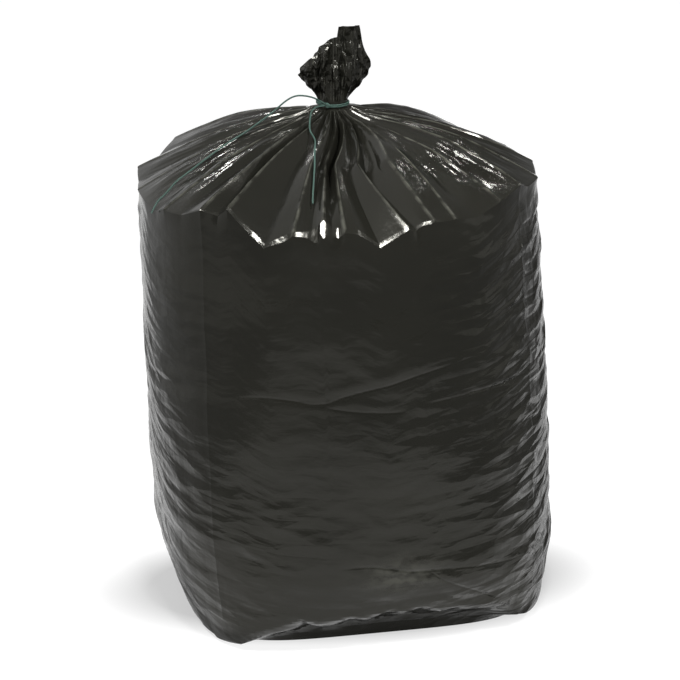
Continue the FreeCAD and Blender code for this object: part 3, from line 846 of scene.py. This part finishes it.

# %% [markdown]
# The film's colour drifts a little toward olive. It is painted paler along the raised folds of the top, as a
# painted highlight, and in a patch near the foot. Seen nearly edge-on it mirrors less than plain plastic
# would, because its fine crumple scatters the light, so a Layer Weight node lowers the specular level there.
# Near the foot the specular level is lowered too, as a painted shade that darkens the undercut.

# %% Film colour and gloss
FILM_DARK = (0.0042, 0.0042, 0.0034, 1.0)
FILM_OLIVE = (0.0078, 0.0076, 0.0058, 1.0)
FILM_HIGHLIGHT_AND_PATCH = (0.040, 0.040, 0.033, 1.0)
MIRROR_TINT = (1.0, 0.985, 0.90, 1.0)
FILM_IOR = 1.5
FACING_GLOSS = 0.31
EDGE_GLOSS = 0.04
GLOSS_FALL = (0.44, 0.84)
# Painted shade at the foot: the lowered specular level, and the heights over which it returns to full.
FOOT_SHADE_GLOSS = 0.42
FOOT_SHADE_HEIGHTS = (0.018, 0.036)
FILM_ROUGHNESS = (0.10, 0.20)


def film_colour(tree, shader, place):
    tint = node(tree, "ShaderNodeTexNoise", {"Vector": place, "Scale": 9.0})
    colour = mix_colours(tree, tint, FILM_DARK, FILM_OLIVE)
    flecks = stretched_noise(tree, place, (70.0, 70.0, 110.0), 4.0)
    flecks = ramp(tree, flecks, 0.40, 0.60, 0.15, 1.0)
    # Paler colour mixed in: a painted highlight along the raised folds of the top, and a paler patch near the
    # foot.
    painted_pale = maths(tree, "MULTIPLY", flecks, stored(tree, "ridge_highlight_and_pale_patch"))
    colour = mix_colours(tree, painted_pale, colour, FILM_HIGHLIGHT_AND_PATCH)
    rough = ramp(tree, tint, 0.0, 1.0, *FILM_ROUGHNESS)
    feed(tree, shader, {"Base Color": colour, "Roughness": rough})


def film_gloss(tree, shader, height):
    feed(tree, shader, {"IOR": FILM_IOR, "Specular Tint": MIRROR_TINT})
    feed(tree, shader, {"Specular IOR Level": FACING_GLOSS})
    edge_on = node(tree, "ShaderNodeLayerWeight", {"Blend": 0.5}, "Facing")
    gloss = ramp(tree, edge_on, *GLOSS_FALL, FACING_GLOSS, EDGE_GLOSS)
    # Painted shade: the specular level is lowered near the foot, so the undercut that mirrors the floor comes
    # out dark.
    foot_painted_shade = ramp(tree, height, *FOOT_SHADE_HEIGHTS, FOOT_SHADE_GLOSS, 1.0)
    feed(tree, shader, {"Specular IOR Level": maths(tree, "MULTIPLY", gloss, foot_painted_shade)})


print("gloss", FACING_GLOSS, "facing,", EDGE_GLOSS, "edge-on")

# %% [markdown]
# What is too fine for the mesh is bump, laid layer on layer: the drawing lines from the film's making,
# a faint crumple, planes on the wall that slant as the creases do, planes and pleats that run to the
# neck, coarser planes on the fan, and the pressed creases last.

# %% Film relief
FILM_SLANT = -0.28
# Metres up the skin where the wall ends, where the gathered top begins, and where the fan begins.
WALL_ENDS = (0.44, 0.485)
TOP_BEGINS = (0.49, 0.56)
FAN_BEGINS = (0.712, 0.725)
# Fields of planes: which coordinates, cells to the metre, depth in metres, and where they lie.
PLANE_FIELDS = [
    ("slanted", (17.0, 17.0, 44.0), 0.0044, "wall"),
    ("slanted", (45.0, 45.0, 95.0), 0.0011, "wall"),
    ("film", (64.0, 64.0, 14.0), 0.0030, "top"),
    ("film", (150.0, 150.0, 40.0), 0.0009, "top"),
    ("place", (62.0, 62.0, 32.0), 0.0060, "fan"),
    ("place", (150.0, 150.0, 80.0), 0.0022, "fan"),
]


def film_relief(tree, place, height):
    film = stored(tree, "film_place", "Vector")
    crumpled = stored(tree, "crumpled")
    spread = split(tree, film)
    climbing = maths(tree, "MULTIPLY_ADD", spread["Y"], FILM_SLANT, spread["Z"])
    slanted = node(tree, "ShaderNodeCombineXYZ", {"X": spread["X"], "Y": spread["Y"], "Z": climbing})
    vectors = {"place": place, "film": film, "slanted": slanted}
    on_wall = ramp(tree, spread["Z"], *WALL_ENDS, 1.0, 0.0)
    on_top = ramp(tree, spread["Z"], *TOP_BEGINS, 0.0, 1.0)
    amounts = {
        "wall": maths(tree, "MULTIPLY", on_wall, crumpled),
        "top": maths(tree, "MULTIPLY", on_top, crumpled),
        "fan": ramp(tree, spread["Z"], *FAN_BEGINS, 0.0, 0.9),
    }
    lines = stretched_noise(tree, place, (900.0, 900.0, 40.0))
    normal = bump(tree, lines, 0.0004, 0.10)
    crumple = stretched_noise(tree, place, (120.0, 120.0, 120.0), 4.0)
    normal = bump(tree, crumple, 0.0010, 0.25, normal)
    ripples = stretched_noise(tree, slanted, (22.0, 22.0, 150.0), 3.0, "RIDGED_MULTIFRACTAL")
    normal = bump(tree, ripples, 0.0012, maths(tree, "MULTIPLY", on_wall, 0.08), normal)
    for vector, cells, depth, where in PLANE_FIELDS:
        normal = bump(tree, flat_planes(tree, vectors[vector], cells), depth, amounts[where], normal)
    pleats = stretched_noise(tree, film, (60.0, 60.0, 6.0), 3.0, "RIDGED_MULTIFRACTAL")
    normal = bump(tree, pleats, 0.0012, maths(tree, "MULTIPLY", on_top, 0.22), normal)
    return bump(tree, pressed_grooves(tree, spread, height), 0.0009, 0.5, normal)


print(len(PLANE_FIELDS), "fields of flat planes")

# %% [markdown]
# Now the sack gets its film, rides on the one body, and stands for its plain solid. It is soft and
# filled tight.

# %% Dress the sack


def film_material():
    material, tree, shader = new_material("black_polythene")
    place = object_place(tree)
    height = split(tree, place)["Z"]
    film_colour(tree, shader, place)
    film_gloss(tree, shader, height)
    feed(tree, shader, {"Normal": film_relief(tree, place, height)})
    return material


BLACK_FILM = film_material()
sack.data.materials.clear()
sack.data.materials.append(BLACK_FILM)
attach(sack, "root")
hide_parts("refuse_sack")
print("film", len(BLACK_FILM.node_tree.nodes), "nodes")

# %% [markdown]
# The tie is thin twisted twine, dull and dark green, with pale fibres. At this size one fine noise
# gives both its colour and its twist.

# %% Twine material
TWINE_DARK = (0.0025, 0.013, 0.009, 1.0)
TWINE_PALE = (0.019, 0.054, 0.041, 1.0)
TWINE_ROUGHNESS = 0.75
FIBRE_CELLS = 900.0


def twine_material():
    material, tree, shader = new_material("green_twine")
    inputs = {"Vector": object_place(tree), "Scale": FIBRE_CELLS, "Detail": 3.0}
    fibre = node(tree, "ShaderNodeTexNoise", inputs)
    colour = mix_colours(tree, fibre, TWINE_DARK, TWINE_PALE)
    twist = bump(tree, fibre, 0.0003, 0.5)
    feed(tree, shader, {"Roughness": TWINE_ROUGHNESS, "Base Color": colour, "Normal": twist})
    return material


GREEN_TWINE = twine_material()
print("twine", TWINE_DIAMETER, "mm thick")

# %% [markdown]
# The two free tails are cords of a known route and length. A smooth curve takes the route's own points
# as its control points, and a round section is laid along it. The points are given about the middle
# of the tie, in millimetres, as in the source of the solids.

# %% Free tails of the twine
LONG_TAIL = [
    (-11.9, -18.7, 2.9), (-20.5, -21.5, 9.1), (-31.3, -21.0, 12.4), (-43.0, -19.5, 12.9),
    (-53.0, -18.5, 7.6), (-62.5, -18.0, -0.7), (-74.0, -18.5, -9.9), (-85.6, -19.0, -17.7),
    (-97.4, -18.5, -26.1), (-111.8, -24.2, -32.5), (-125.6, -31.4, -39.0), (-137.5, -37.3, -45.8),
    (-149.0, -43.5, -52.0), (-163.2, -52.6, -59.8), (-175.4, -58.4, -66.6), (-183.5, -68.5, -72.0),
    (-190.5, -79.0, -76.5), (-199.5, -89.0, -80.5), (-205.5, -94.0, -91.5),
]
SHORT_TAIL = [
    (-12.1, -20.3, 0.5), (-20.0, -25.5, 1.5), (-27.0, -31.0, -1.2), (-29.6, -40.0, -5.8),
    (-31.7, -49.5, -11.1), (-32.8, -59.5, -17.2), (-29.8, -67.0, -21.4), (-29.2, -78.0, -23.0),
    (-30.8, -89.0, -24.8), (-32.6, -99.5, -26.8), (-34.3, -110.0, -30.2), (-35.4, -120.6, -37.1),
    (-37.6, -132.2, -44.6), (-40.1, -146.4, -52.5), (-42.8, -160.7, -60.4), (-44.1, -170.3, -66.4),
]
NECK = Vector((-NECK_LEAN, 0.0, NECK_HEIGHT))
SECTION_STEPS = 4
SPAN_STEPS = 10


def route(offsets):
    """Route points in metres, from millimetres about the middle of the tie."""
    return [(NECK + Vector(offset)) * MM for offset in offsets]


def run_lengths(points):
    return sum((after - here).length for here, after in zip(points, points[1:]))


def twine_curve(name, points):
    """A round cord on one smooth open spline."""
    curve = bpy.data.curves.new(name, "CURVE")
    curve.dimensions = "3D"
    curve.bevel_depth = TWINE_DIAMETER / 2.0 * MM
    curve.bevel_resolution = SECTION_STEPS
    curve.use_fill_caps = True
    spline = curve.splines.new("NURBS")
    spline.points.add(len(points) - 1)
    for knot, place in zip(spline.points, points):
        knot.co = (place.x, place.y, place.z, 1.0)
    spline.order_u = 3
    spline.use_endpoint_u = True
    spline.resolution_u = SPAN_STEPS
    obj = bpy.data.objects.new(name, curve)
    bpy.context.scene.collection.objects.link(obj)
    curve.materials.append(GREEN_TWINE)
    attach(obj, "root")
    return obj


long_points = route(LONG_TAIL)
short_points = route(SHORT_TAIL)
long_tail = twine_curve("long_tail", long_points)
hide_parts("twine_tail_long")
short_tail = twine_curve("short_tail", short_points)
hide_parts("twine_tail_short")
print("runs", round(run_lengths(long_points), 4), round(run_lengths(short_points), 4))

# %% [markdown]
# Round the neck the twine is wound twice and knotted. A spiral of the same section follows the
# neck, and the knot is a short crossed loop laid over it.

# %% Twine round the neck
WRAP_TURNS = 2
WRAP_STEPS = 24
WRAP_GAP = 0.3
KNOT_ANGLE = -24.0
# The knot's loop: millimetres to the side, outward and up from the turns.
KNOT_SHAPE = [
    (-1.5, 1.6, 1.2), (1.4, 2.0, 1.9), (2.3, 2.2, -0.4), (0.4, 2.4, -2.2), (-1.9, 2.2, -0.9),
    (-0.6, 2.9, 1.8), (1.6, 2.6, 0.6), (0.2, 2.9, -1.0), (-1.6, 2.0, 0.4),
]
KNOT_SINK = 1.2


def neck_point(angle, radius, lift):
    turn = math.radians(angle)
    return (NECK + Vector((radius * math.sin(turn), -radius * math.cos(turn), lift))) * MM


def wrap_points():
    radius = NECK_RADIUS + WRAP_GAP + TWINE_DIAMETER / 2.0
    points = []
    for step in range(WRAP_STEPS * WRAP_TURNS + 1):
        turned = step / WRAP_STEPS
        lift = (turned - WRAP_TURNS / 2.0) * TWINE_DIAMETER
        points.append(neck_point(KNOT_ANGLE + 360.0 * turned, radius, lift))
    return points


def knot_points():
    """A pulled-tight loop over the turns, from one tail round to the other."""
    reach = NECK_RADIUS + WRAP_GAP + TWINE_DIAMETER
    points = []
    for side, out, lift in KNOT_SHAPE:
        angle = KNOT_ANGLE + math.degrees(side / reach)
        points.append(neck_point(angle, reach + out - KNOT_SINK, lift))
    return points


def tube(name, points):
    select_only(twine_curve(name, points))
    bpy.ops.object.convert(target="MESH")
    return bpy.context.object


wrap = tube("neck_twine", wrap_points())
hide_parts("twine_wrap")
knot = tube("twine_knot", knot_points())
print("twine round the neck", len(wrap.data.polygons), "faces, knot", len(knot.data.polygons))

# %% [markdown]
# An upright glossy wall mirrors the floor in front: a ray that comes down at 19 degrees leaves it for
# a spot nearly three times as far out as the wall is high there. So the paper is white only where the
# camera sees it, in a wedge that widens away from the camera. Beside the wedge and far in front the
# floor is darker, and that is what the wall mirrors. The paper glows, so its shadows stay soft.

# %% Floor
FLOOR_SIZE = 24.0
WHITE = (1.0, 1.0, 1.0, 1.0)
FLOOR_GREY = (0.25, 0.25, 0.25, 1.0)
FLOOR_ROUGHNESS = 0.8
PAPER_GLOW = 0.88
SIDE_GLOW = 0.25
FAR_LEFT_GLOW = 0.54
FAR_FRONT_GLOW = 0.36
UNDER_GLOW = 0.36
PAPER_WEDGE = 0.165
# Metres between which one part of the floor turns into the next.
PAPER_EDGE = (0.03, 0.28)
SHADE_EDGE = (0.23, 0.32)
FAR_LEFT = (-1.5, -0.8)
FAR_FRONT = (-1.5, -0.7)
SHADE_SQUEEZE = 1.9
SHADE_ASIDE = 0.01


def paper_glow(tree, place):
    """Bright on the wedge of paper, darker at both sides and far in front."""
    turn = (0.0, 0.0, -math.radians(CAMERA_AZIMUTH))
    spread = split(tree, node(tree, "ShaderNodeMapping", {"Vector": place, "Rotation": turn}))
    side = maths(tree, "ABSOLUTE", spread["X"])
    away = maths(tree, "ADD", spread["Y"], CAMERA_DISTANCE)
    side = maths(tree, "MULTIPLY_ADD", away, -PAPER_WEDGE, side)
    on_paper = ramp(tree, side, *PAPER_EDGE, 1.0, 0.0)
    beside = ramp(tree, spread["X"], *FAR_LEFT, FAR_LEFT_GLOW, SIDE_GLOW)
    paper = ramp(tree, spread["Y"], *FAR_FRONT, FAR_FRONT_GLOW, PAPER_GLOW)
    return node(tree, "ShaderNodeMix", {"Factor": on_paper, "A": beside, "B": paper})


def contact_shade(tree, place):
    """Darker close to the left and right of the sack, where it keeps the light off the floor."""
    inputs = {"Vector": place, "Scale": (1.0, SHADE_SQUEEZE, 1.0), "Location": (SHADE_ASIDE, 0.0, 0.0)}
    squeezed = node(tree, "ShaderNodeMapping", inputs)
    reach = node(tree, "ShaderNodeVectorMath", {0: squeezed}, "Value", operation="LENGTH")
    return ramp(tree, reach, *SHADE_EDGE, UNDER_GLOW / PAPER_GLOW, 1.0)


def floor_material():
    material, tree, shader = new_material("pale_floor")
    place = object_place(tree)
    glow = maths(tree, "MULTIPLY", contact_shade(tree, place), paper_glow(tree, place))
    feed(tree, shader, {"Base Color": FLOOR_GREY, "Roughness": FLOOR_ROUGHNESS})
    feed(tree, shader, {"Emission Color": WHITE, "Emission Strength": glow})
    return material


bpy.ops.object.select_all(action="DESELECT")
bpy.ops.mesh.primitive_plane_add(size=FLOOR_SIZE, location=(0.0, 0.0, 0.0))
floor = bpy.context.object
floor.name = "studio_floor"
floor.data.materials.append(floor_material())
print("floor", FLOOR_SIZE, "m wide")

# %% [markdown]
# The gathered top mirrors the room above and behind the sack. A plain white world would turn it pale,
# so dark cards stand in the room: one in front, beside the camera, one behind to the right, and a
# faint one high at the back.

# %% Room
ROOM_LIGHT = 0.95
# Dark cards: the way each lies, the cosines between which it fades in, and the light left there.
DARK_CARDS = [
    (direction(-8.0, 20.0), 0.25, 0.92, 0.25),
    (direction(125.0, 38.0), 0.35, 0.88, 0.32),
    (direction(172.0, 75.0), 0.55, 0.95, 0.78),
]


def studio_room():
    """A white room with dark cards."""
    world = bpy.data.worlds.new("studio_room")
    world.use_nodes = True
    tree = world.node_tree
    way = node(tree, "ShaderNodeTexCoord", {}, "Generated")
    light = ROOM_LIGHT
    for toward, start, end, left in DARK_CARDS:
        facing = node(tree, "ShaderNodeVectorMath", {0: way, 1: toward}, "Value", operation="DOT_PRODUCT")
        card = ramp(tree, facing, start, end, 1.0, left, "SMOOTHSTEP")
        light = maths(tree, "MULTIPLY", light, card)
    feed(tree, tree.nodes["Background"], {"Color": WHITE, "Strength": light})
    return world


bpy.context.scene.world = studio_room()
print(len(DARK_CARDS), "dark cards in the room")

# %% [markdown]
# The white lines along the shoulder edge and the sparks on the top are lamps, mirrored. Each lamp is
# small and has a grid, so that it is seen in the film and hardly lights the floor. The four toward the
# front are mirrored by the shoulder band, the two weak ones behind by the pleats of the top.

# %% Lamps
LAMP_DISTANCE = 2.1
LAMP_SPREAD = math.radians(40.0)
SHOULDER = Vector((-0.02, -0.15, 0.48))
# Each lamp: its name, the way to it from the shoulder, width and height in metres, and watts.
LAMPS = [
    ("lamp_front", (0.57, -0.45, 0.69), 0.44, 0.32, 3.0),
    ("lamp_left", (-0.50, -0.48, 0.72), 0.60, 0.30, 3.6),
    ("lamp_nose", (0.0, -0.53, 0.85), 0.30, 0.25, 1.5),
    ("lamp_right", (0.85, -0.36, 0.38), 0.24, 0.20, 0.12),
    ("lamp_back", (0.24, 0.42, 0.87), 0.13, 0.08, 0.22),
    ("lamp_back_left", (-0.24, 0.76, 0.48), 0.12, 0.08, 0.15),
]


def softbox(name, toward, width, height, power):
    """A rectangular lamp with a grid, so its beam falls on the shoulder and little of it on the floor."""
    bpy.ops.object.select_all(action="DESELECT")
    bpy.ops.object.light_add(type="AREA", location=SHOULDER + Vector(toward).normalized() * LAMP_DISTANCE)
    lamp = bpy.context.object
    lamp.name = name
    lamp.data.shape = "RECTANGLE"
    lamp.data.size = width
    lamp.data.size_y = height
    lamp.data.energy = power
    lamp.data.spread = LAMP_SPREAD
    aim(lamp, SHOULDER)


for lamp_settings in LAMPS:
    softbox(*lamp_settings)
